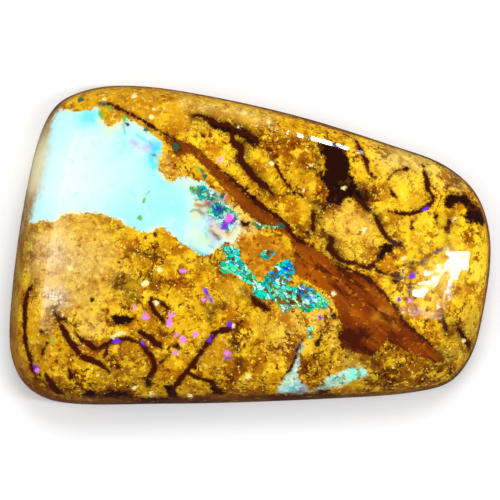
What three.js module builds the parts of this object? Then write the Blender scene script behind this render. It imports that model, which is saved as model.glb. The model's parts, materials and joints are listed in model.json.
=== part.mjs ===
// A boulder opal cut as a freeform cabochon: one piece of ironstone with its opal grown in it.
// Millimetres, +Z up. The stone lies on its flat back with its polished dome facing up, its long side
// along X and its wide end at -X. The origin is on the flat back, at the middle of the stone's box.
import * as THREE from "three";

// Driving dimensions
const LENGTH = 32; // along X, across the girdle
const WIDTH = 21.2; // along Y, across the girdle
const GIRDLE_HEIGHT = 1.0; // the widest line of the stone, above the back
const WALL_RISE = 3.5; // from the girdle up to where the shoulder meets the dome
const CROWN_RISE = 1.3; // of the low dome above that
const SHOULDER_WIDTH = 2.8; // from the girdle in to where the shoulder meets the dome
const BACK_INSET = 0.8; // how far the softened edge of the back lies inside the girdle
const LEAN = new THREE.Vector3(0.3, 0.15, 0); // how far the face sits off the middle of the girdle
const END_TAPER = 0.07; // the wide end is thicker and the narrow end thinner by this share
const POLISH_WAVE = 0.05; // the shallow unevenness that hand polishing leaves on the dome

// The section over the shoulder is a quarter of a superellipse. 2 is round, and more is squarer.
const SHOULDER_POWER = 2.3;

// The girdle seen from above, as shares of half the length and half the width, anticlockwise from the
// lower half of the wide end. The corners have three points each and the sides the few they need.
const GIRDLE_KNOTS = [
  [-1.0, -0.56],
  [-0.99, -0.72],
  [-0.94, -0.88],
  [-0.83, -0.982],
  [-0.35, -1.005],
  [0.34, -0.972],
  [0.68, -0.932],
  [0.83, -0.872],
  [0.92, -0.7],
  [0.97, -0.42],
  [1.0, -0.06],
  [0.985, 0.155],
  [0.93, 0.345],
  [0.8, 0.508],
  [0.6, 0.62],
  [0.2, 0.81],
  [-0.2, 0.945],
  [-0.47, 1.0],
  [-0.65, 0.985],
  [-0.8, 0.89],
  [-0.868, 0.71],
  [-0.922, 0.39],
  [-0.966, 0.0],
];
// The knots in the middle of the girdle's four corners: -X -Y, +X -Y, +X +Y and -X +Y.
const CORNER_KNOTS = [2, 7, 13, 19];

// The mesh is a box. Its top and bottom become two cores of straight-sided grid. Its four sides become
// rings, which run from the upper core over the dome, the shoulder, the girdle and the back's edge.
const CORE_COLUMNS = 28;
const CORE_ROWS = 18;
const DOME_RINGS = 5;
const SHOULDER_RINGS = 8;
const BACK_EDGE_RINGS = 4;
const BACK_RINGS = 2;
const CORE_SHARE = 0.5; // the corners of each core lie this far out from the centre
const CURVE_SAMPLES = 1440; // taken along the girdle wherever it is measured

const STONE_COLOUR = 0xb8801e;

// The girdle as a closed curve, fitted so that its box is LENGTH by WIDTH about the origin.
function makeGirdle() {
  const drawn = new THREE.CatmullRomCurve3(
    GIRDLE_KNOTS.map(([x, y]) => new THREE.Vector3(x, y, 0)),
    true,
  );
  const box = new THREE.Box3().setFromPoints(drawn.getPoints(CURVE_SAMPLES));
  const fit = new THREE.Vector3(LENGTH, WIDTH, 0);
  fit.x /= box.max.x - box.min.x;
  fit.y /= box.max.y - box.min.y;
  const middle = box.getCenter(new THREE.Vector3());
  const knots = drawn.points.map((p) => p.sub(middle).multiply(fit));
  return new THREE.CatmullRomCurve3(knots, true);
}

const girdle = makeGirdle();

// The share of the girdle's length that lies before each corner.
const girdleLengths = girdle.getLengths(CURVE_SAMPLES);
const cornerShares = CORNER_KNOTS.map((knot) => {
  const sample = Math.round((knot / GIRDLE_KNOTS.length) * CURVE_SAMPLES);
  return girdleLengths[sample] / girdleLengths[CURVE_SAMPLES];
});

// The girdle's distance from the centre, in every direction.
const girdleReaches = girdle
  .getSpacedPoints(CURVE_SAMPLES)
  .map((p) => ({ angle: Math.atan2(p.y, p.x), reach: Math.hypot(p.x, p.y) }))
  .sort((a, b) => a.angle - b.angle);

// How far out a point lies, from 0 at the centre to 1 on the girdle.
function shareOut(x, y) {
  const angle = Math.atan2(y, x);
  const found = girdleReaches.findIndex((g) => g.angle >= angle);
  const after = girdleReaches[Math.max(found, 0)];
  const before = girdleReaches.at(Math.max(found, 0) - 1);
  const whole = THREE.MathUtils.euclideanModulo(after.angle - before.angle, 2 * Math.PI);
  const part = THREE.MathUtils.euclideanModulo(angle - before.angle, 2 * Math.PI);
  const reach = THREE.MathUtils.lerp(before.reach, after.reach, whole > 0 ? part / whole : 0);
  return Math.hypot(x, y) / reach;
}

// Turns a place on the edge of the box (u and v from -1 to 1) into the point of the girdle that it
// stands for. The box's corners go to the girdle's corners, with even spaces between them.
function girdlePoint(u, v) {
  let side = 3;
  let along = (1 - v) / 2;
  if (v <= -1) {
    side = 0;
    along = (u + 1) / 2;
  } else if (u >= 1) {
    side = 1;
    along = (v + 1) / 2;
  } else if (v >= 1) {
    side = 2;
    along = (1 - u) / 2;
  }
  const start = cornerShares[side];
  const end = side < 3 ? cornerShares[side + 1] : 1 + cornerShares[0];
  return girdle.getPointAt(THREE.MathUtils.lerp(start, end, along) % 1);
}

// A point of the cores' straight-sided grid, for u and v from -1 to 1.
const coreCorners = [
  girdlePoint(-1, -1),
  girdlePoint(1, -1),
  girdlePoint(-1, 1),
  girdlePoint(1, 1),
].map((p) => p.multiplyScalar(CORE_SHARE));

function corePoint(u, v) {
  const [lowLeft, lowRight, highLeft, highRight] = coreCorners;
  const low = lowLeft.clone().lerp(lowRight, (u + 1) / 2);
  const high = highLeft.clone().lerp(highRight, (u + 1) / 2);
  return low.lerp(high, (v + 1) / 2);
}

// Lifts a point onto the polished face. rise is 0 on the girdle and 1 from the shoulder inwards.
function liftToFace(p, rise) {
  const share = shareOut(p.x, p.y);
  const taper = 1 - (END_TAPER * p.x) / (LENGTH / 2);
  const lift = (WALL_RISE * rise + CROWN_RISE * (1 - share ** 2)) * taper;
  const wave = POLISH_WAVE * Math.sin(0.37 * p.x + 0.8) * Math.cos(0.43 * p.y - 0.5);
  return p.setZ(GIRDLE_HEIGHT + lift + wave * (1 - share ** 4));
}

// The vertex of one ring that belongs to a place on the edge of the box. Rings count from the dome.
function ringVertex(u, v, ring) {
  const rim = girdlePoint(u, v);
  const reach = rim.length();
  const shoulder = rim.clone().multiplyScalar(1 - SHOULDER_WIDTH / reach).add(LEAN);
  if (ring < DOME_RINGS) {
    const core = corePoint(u, v).add(LEAN);
    return liftToFace(core.lerp(shoulder, ring / DOME_RINGS), 1);
  }
  ring -= DOME_RINGS;
  if (ring < SHOULDER_RINGS) {
    const turn = (ring / SHOULDER_RINGS) * (Math.PI / 2);
    const outward = Math.sin(turn) ** (2 / SHOULDER_POWER);
    const rise = Math.cos(turn) ** (2 / SHOULDER_POWER);
    return liftToFace(shoulder.lerp(rim, outward), rise);
  }
  ring -= SHOULDER_RINGS;
  if (ring < BACK_EDGE_RINGS) {
    const turn = (ring / BACK_EDGE_RINGS) * (Math.PI / 2);
    const inset = BACK_INSET * (1 - Math.cos(turn));
    rim.multiplyScalar(1 - inset / reach);
    return rim.setZ(GIRDLE_HEIGHT * (1 - Math.sin(turn)));
  }
  ring -= BACK_EDGE_RINGS;
  rim.multiplyScalar(1 - BACK_INSET / reach);
  return rim.lerp(corePoint(u, v), ring / BACK_RINGS);
}

function makeStoneGeometry() {
  const rings = DOME_RINGS + SHOULDER_RINGS + BACK_EDGE_RINGS + BACK_RINGS;
  const geometry = new THREE.BoxGeometry(2, 2, 2, CORE_COLUMNS, CORE_ROWS, rings);
  const places = geometry.attributes.position;
  for (let i = 0; i < places.count; i++) {
    const u = places.getX(i);
    const v = places.getY(i);
    const ring = Math.round(((1 - places.getZ(i)) / 2) * rings);
    let p;
    if (Math.max(Math.abs(u), Math.abs(v)) === 1) {
      p = ringVertex(u, v, ring);
    } else {
      p = corePoint(u, v);
      if (ring === 0) liftToFace(p.add(LEAN), 1);
    }
    places.setXYZ(i, p.x, p.y, p.z);
  }
  geometry.computeVertexNormals();
  return geometry;
}

const stone = new THREE.Mesh(
  makeStoneGeometry(),
  new THREE.MeshStandardMaterial({
    color: STONE_COLOUR,
    roughness: 0.18,
    metalness: 0,
  }),
);
stone.name = "boulder_opal";

const part = new THREE.Group();
part.add(stone);

export default part;
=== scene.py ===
# A polished boulder opal, a freeform cabochon of golden ironstone with opal grown in it.
# It lies on its flat back on a pale table, and the camera looks straight down on its dome.
import json
import math

import bpy
import numpy as np
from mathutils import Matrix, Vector, noise

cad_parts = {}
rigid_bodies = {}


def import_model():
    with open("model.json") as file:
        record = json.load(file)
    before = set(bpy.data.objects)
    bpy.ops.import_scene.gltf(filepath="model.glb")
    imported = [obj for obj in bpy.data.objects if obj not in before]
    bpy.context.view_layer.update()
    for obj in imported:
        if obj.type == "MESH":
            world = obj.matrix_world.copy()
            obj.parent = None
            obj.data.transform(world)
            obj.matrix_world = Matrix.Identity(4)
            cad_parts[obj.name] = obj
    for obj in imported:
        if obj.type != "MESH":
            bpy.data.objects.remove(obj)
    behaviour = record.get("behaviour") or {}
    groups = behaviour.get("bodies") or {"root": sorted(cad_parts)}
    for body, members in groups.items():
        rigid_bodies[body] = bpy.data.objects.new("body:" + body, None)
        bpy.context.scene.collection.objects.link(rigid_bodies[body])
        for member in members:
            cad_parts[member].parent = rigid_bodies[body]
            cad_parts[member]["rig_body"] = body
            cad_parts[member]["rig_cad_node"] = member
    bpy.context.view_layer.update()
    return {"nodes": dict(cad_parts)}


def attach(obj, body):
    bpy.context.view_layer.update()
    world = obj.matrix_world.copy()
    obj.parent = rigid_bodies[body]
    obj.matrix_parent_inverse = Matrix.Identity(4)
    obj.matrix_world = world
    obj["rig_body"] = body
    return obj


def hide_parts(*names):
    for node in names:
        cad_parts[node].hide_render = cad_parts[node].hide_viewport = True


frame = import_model()

MM = 0.001  # this script's lengths are in millimetres until they reach Blender

# The mesh
GIRDLE_HEIGHT = 1.0  # the widest line of the stone, above its back
GIRDLE_BAND = 0.01  # how near to that height a vertex on it lies
MERGE_DISTANCE = 1e-6  # in metres: vertices nearer than this are one
ISLAND_MARGIN = 0.01  # round each part of the UV map, as a share of its width
FINE_LEVELS = 3  # of subdivision, which puts the polished face's vertices about 0.1 mm apart
BACK_SHARE = 0.04  # of its faces that the flat back keeps
WALL_SHARE = 0.15  # of its faces that the lower wall keeps
WALL_HEIGHT = 3.4  # where the lower wall ends
BELOW_BACK = -1.0  # a height that is under the whole stone

# How marks are measured and how they run down through the stone
CURVE_STEPS = 5  # points between two of the given ones
FAR = 0.9  # a depth of less than minus this is not worth telling apart
FACE_HEIGHT = 2.9  # below this a mark drifts sideways
DIP = np.array((0.5, -0.35))  # how far it drifts for each millimetre
OPAL_FLOOR = 2.9  # the opal, its fire and the coloured grains are a skin that ends at this height
CRACK_TAPER = 0.12  # the share of a crack's length over which each end narrows
CRACK_TIP = 0.4  # how wide its very end still is, as a share of its width
DRIFT = 0.3  # how far noise pushes the painted tones about
DRIFT_SCALE = 0.9  # how often it does so in each millimetre
DRIFT_OCTAVES = 3
DRIFT_SEED = 5  # without a seed of its own this noise would differ from run to run
FALLOFF = 1.1  # how fast a soft tone fades with its distance

# The marks on the face, in millimetres from the middle of the stone, as seen from above.
# Each area is a closed outline.
OPAL_PATCH = [(-12.9, 8.95), (-10.85, 8.8), (-10.35, 8.85), (-10.05, 9.05), (-9.8, 8.25),
    (-9.45, 7.95), (-9, 7.8), (-8.55, 8), (-8.15, 8.35), (-7.05, 7.7), (-5.85, 6.7), (-5.8, 6.25),
    (-6.05, 5.2), (-5.45, 4.25), (-5, 4.15), (-4.45, 4.4), (-3.8, 4.4), (-2.5, 3.75), (-1, 2.3),
    (-0.6, 1.65), (-0.65, 0.85), (-1.05, 0.15), (-1.85, 0), (-2.8, -0.8), (-3.95, -0.2),
    (-5.4, 0.9), (-5.9, 1.1), (-6.95, 0.8), (-9.05, 1.85), (-9.85, 2.05), (-12.1, 2.05),
    (-12.5, 1.7), (-13, 1.5), (-13.65, 1.55), (-14.2, 1.4), (-14.8, 1.8), (-14.4, 3.95),
    (-13.9, 7.15), (-13.5, 8.3)]
OPAL_VEINS = [
    [(3.25, -6.4), (3.45, -6.45), (3.3, -7.3), (3.05, -7.95), (2.8, -8.15), (2.95, -7.35)],
    [(2.55, -8.2), (3.1, -8.1), (3.15, -8.75), (3.55, -9.15), (3.7, -9.8), (2.75, -10), (1.95, -9.9),
        (1.9, -9.4)],
    [(3.3, -9.95), (4.3, -9.45), (5.1, -8.75), (5.7, -8.45), (6.7, -8.1), (7.4, -8.15), (7.55, -8.6),
        (6.6, -9.0), (5.3, -9.4), (3.95, -10.05)],
]
BROWN_SEAM = [(-5.8, 7.35), (-5.1, 7), (-3.95, 6.7), (-3.4, 6.35), (-2.9, 5.95), (0, 3.15),
    (2.35, 1.5), (3, 0.6), (3.5, 0.2), (4.6, -0.4), (5.65, -1.2), (7.6, -2.15), (8.15, -2.55),
    (9.45, -3.95), (10.05, -4.95), (10.5, -5.45), (11.55, -6.25), (12.8, -7.4), (12.5, -7.75),
    (11.8, -7.6), (9.2, -6.45), (8.8, -6.55), (8.25, -7.05), (7.75, -7.3), (6.45, -6.9), (6, -6.55),
    (5.8, -6.1), (6.05, -5.45), (5.25, -3.35), (4.2, -2.55), (3.1, -2.05), (2.8, -1.65),
    (2.95, -0.45), (2.75, 0.05), (2.45, 0.45), (1.95, 0.8), (0.8, 1.2), (0, 1.85), (-3.55, 5.65),
    (-3.95, 5.95), (-4.4, 5.85), (-4.85, 5.95), (-5.2, 6.3)]
AMBER_POCKET = [(-0.6, 0.35), (0, 0.6), (0.8, 0.65), (1.65, 0.5), (2.65, -0.35), (2.5, -0.85),
    (1.95, -1.1), (1.5, -1.5), (1.2, -2.05), (0.65, -2.15), (0.2, -1.9), (-0.45, -0.85),
    (-0.65, -0.2)]
FIRE_AREAS = {
    "teal": [(-1.75, -0.1), (-1.2, -0.05), (-0.8, -0.6), (-0.2, -1.5), (0.6, -2.4), (0.1, -2.6),
        (-0.6, -2.2), (-1.2, -1.85), (-1.75, -1.75), (-1.95, -1.3), (-1.6, -1), (-1.75, -0.6)],
    "blue": [(1.45, -1.5), (1.85, -1.1), (2.5, -1.05), (2.8, -1.4), (2.8, -2.15), (2.5, -2.5),
        (1.95, -2.65), (1.2, -2.7), (0.8, -2.55)],
    "band": [(0.15, -2.5), (0.8, -2.35), (2.75, -2.7), (3.5, -2.65), (4.45, -3.1), (5.25, -3.95),
        (4.75, -4.2), (4.05, -4.2), (3.55, -4.4), (3, -4.05), (2.35, -4.4), (1.9, -3.95), (1.3, -3.6),
        (0.55, -3.5), (0.15, -3.1)],
    "violet": [(-2.5, 2.55), (-1.95, 2.75), (-0.9, 2.1), (-0.8, 1.55), (-1.1, 1.05), (-1.6, 1.05),
        (-2.55, 1.85)],
    "upper": [(-3.75, 3.75), (-3.1, 3.9), (-2.5, 3.6), (-2.15, 3.2), (-2.5, 2.95), (-3.1, 3),
        (-3.7, 3.25)],
    "in the amber": [(0.8, -0.9), (0.9, -0.5), (1.2, -0.3), (1.7, -0.35), (1.6, -0.65), (1.2, -0.9)],
    "drop": [(3.8, -5.4), (4.05, -5.35), (4.15, -5.8), (3.85, -5.95)],
    "crossing": [(0.1, 1.55), (0.8, 1.4), (1.8, 1.25), (1.5, 1), (0.9, 1.05), (0.35, 1.2)],
}
BLACK_PATCHES = {
    "below the back glint": [(4.45, 6.6), (5.25, 6.75), (6.2, 6.5), (6.5, 5.5), (6.7, 4.5), (7.1, 3.7),
        (7.9, 3.1), (7.6, 2.8), (6.95, 2.95), (6.45, 3.2), (6.15, 2.8), (5.5, 2.6), (5, 2.95),
        (5.1, 3.6), (4.6, 4.4), (4.95, 5.05), (4.8, 5.7), (4.5, 6.1)],
    "wedge at the right end": [(12.65, 2.9), (13, 3.3), (13.6, 3.35), (14.2, 3.2), (14.75, 2.8),
        (15.25, 2.4), (15.6, 1.95), (15.6, 1.35), (14.9, 1.45), (14.2, 1.55), (13.95, 1.95), (14.3, 2.2),
        (14.1, 2.5), (13.6, 2.65), (13.2, 2.4), (12.8, 2.5)],
    "under the yellow nodule's top": [(-2.7, 8.1), (-1.6, 8), (-0.9, 7.8), (-0.2, 7.5), (0.4, 7.1),
        (0.5, 6.65), (0.1, 6.6), (-0.4, 6.95), (-1, 7.15), (-1.9, 7.5), (-2.6, 7.7)],
    "right of the middle nodule": [(8.45, -0.25), (8.85, 0.15), (9.3, 0.05), (9.3, -0.45),
        (8.95, -0.55), (8.7, -0.95), (8.25, -1.15), (8.3, -0.65)],
    "above the round nodule": [(-9, -4.75), (-8.6, -4.6), (-7.9, -4.65), (-7.6, -4.95), (-8.1, -5.2),
        (-8.55, -5.35), (-8.95, -5.15)],
    # The two patches along the lower edge are black marks that also darken that edge: partly painted
    # shade.
    "lower edge": [(-10, -10.3), (-9.8, -9.7), (-8.9, -9.55), (-8.1, -9.6), (-7.7, -9.85),
        (-7.9, -10.4)],
    "lower edge, further left": [(-11.1, -10.1), (-10.8, -9.55), (-10.3, -9.5), (-10.05, -9.85),
        (-10.3, -10.4)],
    "foot of the branch": [(-2.75, -9.05), (-2.2, -9.15), (-1.85, -9.45), (-1.35, -9.95),
        (-2.2, -10), (-2.6, -9.5)],
    "foot of the long crack": [(-5.6, -9.35), (-5.2, -9.1), (-4.85, -9.5), (-4.85, -10.15),
        (-5.35, -10.15)],
}
DARK_SEAM = [(5.9, -5.5), (6.5, -5.3), (7.1, -5.5), (7.7, -5.6), (7.9, -6.1), (7.4, -6.4), (8.2, -6.9),
    (8.8, -7.2), (8.4, -7.45), (7.75, -7.3), (6.45, -6.9), (6, -6.55), (5.7, -6.1)]

# Cracks and veins of black iron oxide: the width of each, and the points it runs through.
CRACKS = {
    "left diagonal": (0.4, [(-12.55, -4.85), (-12.2, -5.6), (-11.6, -6.55), (-11.1, -7.2),
        (-10.4, -7.55), (-9.9, -7.8), (-9.25, -8.25)]),
    "over the round nodule": (0.28, [(-11.35, -4.9), (-11.45, -5.6), (-11.2, -6.05), (-10.6, -6.45),
        (-10.05, -6.8), (-9.6, -6.6), (-9.1, -6.35), (-8.4, -6.15), (-7.8, -6.15), (-7.2, -6.5)]),
    "right of the round nodule": (0.36, [(-7.3, -6.4), (-6.75, -6.9), (-6.35, -7.5), (-6.2, -8),
        (-6.45, -8.4), (-6.95, -8.8)]),
    "left of the round nodule": (0.17, [(-9.15, -6.5), (-9.4, -6.95), (-9.5, -7.6)]),
    "thick slanting": (0.42, [(-7.4, -5.6), (-6.55, -6.1), (-5.8, -6.75)]),
    "short link": (0.18, [(-5.95, -7.85), (-5.2, -7.1)]),
    "long": (0.36, [(-0.45, -4.95), (-0.9, -5.25), (-1.5, -5.5), (-2.05, -5.65), (-2.45, -5.95),
        (-3.1, -6.9), (-4, -8.1), (-4.85, -9.2), (-5.1, -9.7), (-5.05, -10.1)]),
    "branch": (0.28, [(-4.1, -8.35), (-3.6, -8.65), (-2.5, -9.05), (-1.85, -9.9)]),
    "spur": (0.16, [(-3.8, -7.75), (-3.6, -7.95), (-3.55, -8.3)]),
    "hook": (0.34, [(-6.45, -3.5), (-6.4, -4.1), (-6.1, -4.5), (-5.6, -5)]),
    "hook's arm": (0.24, [(-6.2, -3.5), (-5.7, -3.85), (-5.25, -4.2)]),
    "along the left wall": (0.3, [(-14.2, -2.6), (-14.6, -3.1), (-14.75, -3.8), (-14.8, -5.6),
        (-14.7, -6.6), (-14.35, -7.9), (-14.05, -8.8)]),
    "black tail": (0.19, [(-13.15, -6.3), (-13.45, -6.7), (-13.65, -7.2)]),
    "lower left corner": (0.42, [(-13.45, -8.55), (-13.05, -9.05), (-12.85, -9.5), (-12.3, -9.8)]),
    "beside it": (0.26, [(-11.9, -8.05), (-11.7, -8.5), (-11.75, -8.85)]),
    "under the pale dot": (0.24, [(-12.85, -4.35), (-12.55, -4.75), (-12.05, -4.85)]),
    "by the yellow nodule": (0.46, [(-1.2, 7.35), (-1.1, 6.75), (-0.55, 6.25), (-0.65, 5.6),
        (-0.1, 4.9), (0.3, 4.35), (0.9, 3.95), (1.5, 3.3)]),
    "yellow nodule's top": (0.26, [(-3.7, 8.5), (-3.1, 8.45), (-2.4, 8.05), (-1.5, 7.85), (-0.9, 7.55),
        (-0.3, 7.3), (0.35, 6.85), (0.4, 6.5)]),
    "fleck on the yellow nodule": (0.16, [(-3.2, 7.25), (-2.95, 7)]),
    "second fleck": (0.16, [(-0.95, 5.4), (-0.6, 5.45)]),
    "seam's upper edge": (0.26, [(-2.05, 5.1), (-0.8, 3.95), (0.8, 2.55), (2.05, 1.7), (2.8, 0.65),
        (3.35, 0.2), (4.05, -0.05)]),
    "seam's upper edge, right": (0.2, [(5.5, -1.15), (6.3, -1.5), (7.6, -2.15), (8.15, -2.55),
        (9.45, -3.95), (10.05, -4.95), (10.5, -5.45), (11.55, -6.25), (12, -6.7)]),
    "over the opal": (0.2, [(-10, 9.3), (-9.3, 9.25), (-8.55, 8.95), (-7.1, 8.2), (-5.4, 7.15),
        (-4.75, 6.85), (-4.2, 6.7)]),
    "twig": (0.2, [(1.2, 5.95), (1.7, 5.2), (2.25, 4.2), (2.9, 3.5)]),
    "flecks": (0.2, [(1.2, 6.3), (1.5, 6.1)]),
    "dashed": (0.24, [(6.95, 7), (7.3, 6.2), (7.6, 5.6), (7.75, 4.9), (8.05, 4.4)]),
    "ring's top": (0.21, [(9.05, 4.15), (9.2, 4.5), (9.6, 4.85), (10.1, 4.95), (10.55, 5.1)]),
    "ring's left": (0.19, [(9.1, 3.9), (9.3, 3.4), (9.65, 3.05)]),
    "ring": (0.32, [(11.35, 5.3), (11.55, 4.5), (11.7, 3.7), (12, 3.1), (11.8, 2.65), (11.3, 2.35),
        (10.7, 2.1), (10, 2.05), (9.1, 2.2)]),
    "outside the ring": (0.17, [(12.05, 2.2), (12.2, 1.85), (12.3, 1.2)]),
    "small arc": (0.19, [(10.75, 1.65), (10.6, 1.3), (10.6, 0.95)]),
    "middle": (0.36, [(8.1, 2), (8.4, 1.4), (8.8, 0.75), (9.15, 0.35), (9.65, 0.1), (10.1, -0.2)]),
    "net": (0.26, [(6.8, 3.6), (7, 3), (7.5, 2.55), (8.1, 2.1)]),
    "net's second thread": (0.22, [(7.4, 3.9), (7.65, 3.2), (7.35, 2.7)]),
    "under the middle nodule": (0.3, [(8.3, -1), (7.7, -1.5), (7, -1.25), (6.3, -1.1), (5.8, -0.9),
        (5.4, -0.35), (5.2, 0.2)]),
    "left of the middle nodule": (0.4, [(5.2, 0.65), (5.35, 0.2), (5.15, -0.2), (5.5, -0.7)]),
    "further left": (0.24, [(4.1, 2.2), (4.15, 1.5), (4.05, 0.8)]),
    "by the seam": (0.18, [(3.1, 0.6), (3.5, 0.45), (4, 0.55)]),
    "to the glint": (0.18, [(10.1, -1.25), (10.7, -1.2), (11.25, -1.1), (11.7, -0.75), (12.6, -0.25)]),
    "wavy": (0.23, [(8.1, -1.2), (8.35, -1.7), (9.1, -1.95), (10.1, -2.15)]),
    "hair": (0.17, [(10.5, -2.35), (10.45, -2.95), (10.5, -3.5)]),
    "right end": (0.22, [(12.65, -4.7), (12.75, -5.3), (13, -5.75)]),
    "right edge": (0.34, [(13.6, -5.3), (13.95, -5.9), (14.6, -6.9)]),
    "drip in the wedge": (0.26, [(13.1, 1.7), (13, 1.3), (12.95, 0.9)]),
    "vein's left edge": (0.16, [(3.4, -6.2), (3.1, -6.9), (2.85, -7.7), (2.6, -8.2), (2.2, -8.6)]),
    "to the drop": (0.16, [(5.3, -5.35), (4.7, -5.9), (4.5, -6.3)]),
    "slanting flecks": (0.15, [(5.6, -6.85), (5.35, -7.1), (5.3, -7.7)]),
    "by the fire": (0.42, [(0.1, -3.35), (0.5, -3.8), (1.2, -4.25)]),
    "cream's edge": (0.2, [(-0.65, 1.55), (-0.35, 1.35), (0.05, 1.5)]),
    "lower edge, right": (0.3, [(3.8, -9.9), (4.8, -9.65), (5.5, -9.8)]),
}

# Soft smears on the ironstone and on the opal: the tone, its share, its reach and where it runs.
IRONSTONE_SMEARS = (
    ("slate", 0.95, 0.4, [(12.2, -7.25), (12.7, -7.55)]),
    ("umber", 0.9, 0.32, [(-3.8, 8.35), (-2.7, 8.15), (-1.6, 7.85), (-0.7, 7.6)]),
    ("umber", 0.95, 0.45, [(-0.6, 7.5), (0, 7.1), (0.5, 6.6)]),
    ("umber", 0.8, 0.35, [(6.5, 3.1), (7.2, 2.9), (7.8, 3.3)]),
    ("umber", 0.7, 0.3, [(4.3, 3), (4.9, 2.5), (5.6, 2.5)]),
    ("umber", 0.6, 0.3, [(3.2, 1.2), (3.6, 0.9), (4.1, 0.7)]),
    ("umber", 0.75, 0.4, [(-2.75, -3.7), (-2.5, -4.3), (-2.6, -4.9)]),
    ("umber", 0.6, 0.3, [(-2.3, -3.9), (-1.6, -3.9)]),
    ("umber", 0.7, 0.45, [(-0.4, -2.9), (0.2, -3.5), (0.9, -4)]),
    ("umber", 0.75, 0.4, [(-1.05, -6.5), (-0.75, -7.2), (-0.7, -7.9)]),
    ("rust", 0.6, 0.3, [(-2.1, -8.2), (-1.4, -8.6), (-0.7, -8.2)]),
    ("umber", 0.8, 0.25, [(-5.95, -5.7), (-5.5, -5.75)]),
    ("umber", 0.6, 0.6, [(-0.5, 6.6), (-0.3, 5.2), (0.6, 4.3), (1.5, 3.3)]),
    ("umber", 0.6, 0.5, [(4.3, 2.6), (4.6, 2.1), (4.2, 1.1)]),
    ("umber", 0.7, 0.5, [(5, 0.7), (5.4, -0.2), (5.9, -1.1)]),
    ("umber", 0.75, 0.5, [(6.9, 3.7), (7.4, 2.9), (8.2, 2.2)]),
    ("umber", 0.7, 0.4, [(8.4, 2), (8.75, 1.3)]),
    ("umber", 0.5, 0.5, [(13, 1.6), (13, 0.6), (13.15, -0.2)]),
    ("rust", 0.9, 0.3, [(10.4, -1.6), (10.65, -1.8)]),
    ("umber", 0.6, 0.4, [(12.7, -4.7), (13, -5.8)]),
    ("umber", 0.6, 0.4, [(13.5, -5.3), (14.5, -6.8)]),
    ("umber", 0.75, 0.5, [(-8.5, -2.8), (-8, -3.1), (-7.7, -3.5)]),
    ("umber", 0.5, 0.4, [(-7.9, -0.3), (-7, -0.55), (-6.3, -0.5)]),
    ("umber", 0.55, 0.45, [(-8.7, -2), (-7.6, -2.2), (-6.6, -2.1), (-6.3, -2.8)]),
    ("rust", 0.6, 0.4, [(-5.4, -1.2), (-4.3, -1.4), (-3.2, -1.2)]),
    ("rust", 0.8, 0.35, [(-2.7, -1), (-2.1, -1.3), (-1.6, -1.9)]),
    ("umber", 0.7, 0.4, [(-12.9, -4.2), (-12.5, -4.7), (-12, -5)]),
    ("umber", 0.5, 0.5, [(-14.4, 1), (-14.5, -1), (-14.4, -3)]),
    ("umber", 0.6, 0.5, [(-13.9, -9), (-12.9, -9.6), (-11.5, -9.9)]),
    ("rust", 0.5, 0.5, [(-13.5, -5.6), (-14, -6.3), (-14, -7.4)]),
    ("straw", 0.7, 0.35, [(-4.4, 9.3), (-3.2, 9.1), (-1.5, 8.8), (0, 8.6), (1.5, 8.1)]),
    ("straw", 0.6, 0.3, [(9, 5.9), (10.3, 5.6), (11.4, 5.2)]),
    ("bright", 0.8, 0.35, [(-9.3, -5.95), (-8.7, -5.85), (-8, -5.75)]),
    ("rust", 0.7, 0.3, [(2.4, 6.6), (3.2, 5.5), (4.2, 4.9)]),
    ("rust", 0.6, 0.4, [(0.6, 7.6), (2, 7.2), (3.5, 6.9)]),
    ("umber", 0.5, 0.35, [(3.9, 6.7), (4.3, 5.9), (4.4, 4.9)]),
    ("rust", 0.6, 0.5, [(2.9, -7.3), (3.7, -7.7), (4.6, -8.2)]),
)
OPAL_SMEARS = (
    ("clay", 0.8, 0.15, [(-3.6, 2.5), (-2.9, 2.6), (-2.3, 2.9)]),
    ("moss", 0.7, 0.11, [(-3.8, 2.1), (-3.2, 2), (-2.7, 2.3)]),
    ("bottle", 0.8, 0.11, [(-2.9, 1.6), (-2.6, 2.2), (-2.3, 2.8)]),
    ("ink", 0.7, 0.13, [(-2.6, 2.6), (-2.1, 2.4), (-1.6, 2.1)]),
    ("umber", 0.7, 0.11, [(-2.4, 1.3), (-2.2, 0.7), (-1.9, 0.2)]),
    ("sea", 0.7, 0.15, [(-3.9, -0.2), (-3.2, -0.5), (-2.6, -0.6)]),
    ("sea", 0.6, 0.13, [(-2.9, 0.9), (-2.7, 0.4), (-2.4, -0.1)]),
    ("lime", 0.8, 0.16, [(-3.6, 0.9), (-3.1, 0.4), (-2.6, 0.3)]),
    ("umber", 0.8, 0.13, [(-1.9, 3.1), (-1.4, 2.6), (-1, 2.2)]),
    ("clay", 0.7, 0.13, [(-1.2, 0.9), (-0.9, 1.5), (-0.7, 1.9)]),
    ("violet", 0.6, 0.15, [(-2.5, 1.9), (-1.9, 1.9), (-1.2, 1.5)]),
    ("cream", 0.8, 0.2, [(-2.3, 1.1), (-1.6, 0.6), (-1.2, 0.2)]),
    ("deep", 0.8, 0.2, [(-6.3, 6.6), (-6.1, 5.9), (-6.3, 5.2)]),
    ("lilac", 0.7, 0.2, [(-7.7, 6.9), (-7, 6.4), (-6.4, 6.7)]),
    ("slate", 0.5, 0.12, [(-8.2, 8), (-8, 7.4)]),
    ("sea", 0.5, 0.12, [(-7.3, 7.4), (-6.8, 6.9)]),
    ("sea", 0.7, 0.16, [(-6.5, 6.9), (-6.1, 6.4)]),
    ("deep", 0.9, 0.25, [(-6.6, 5.9), (-6.2, 5.1)]),
    ("slate", 0.6, 0.1, [(-6.4, 6.1), (-6.1, 5.8)]),
)

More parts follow.
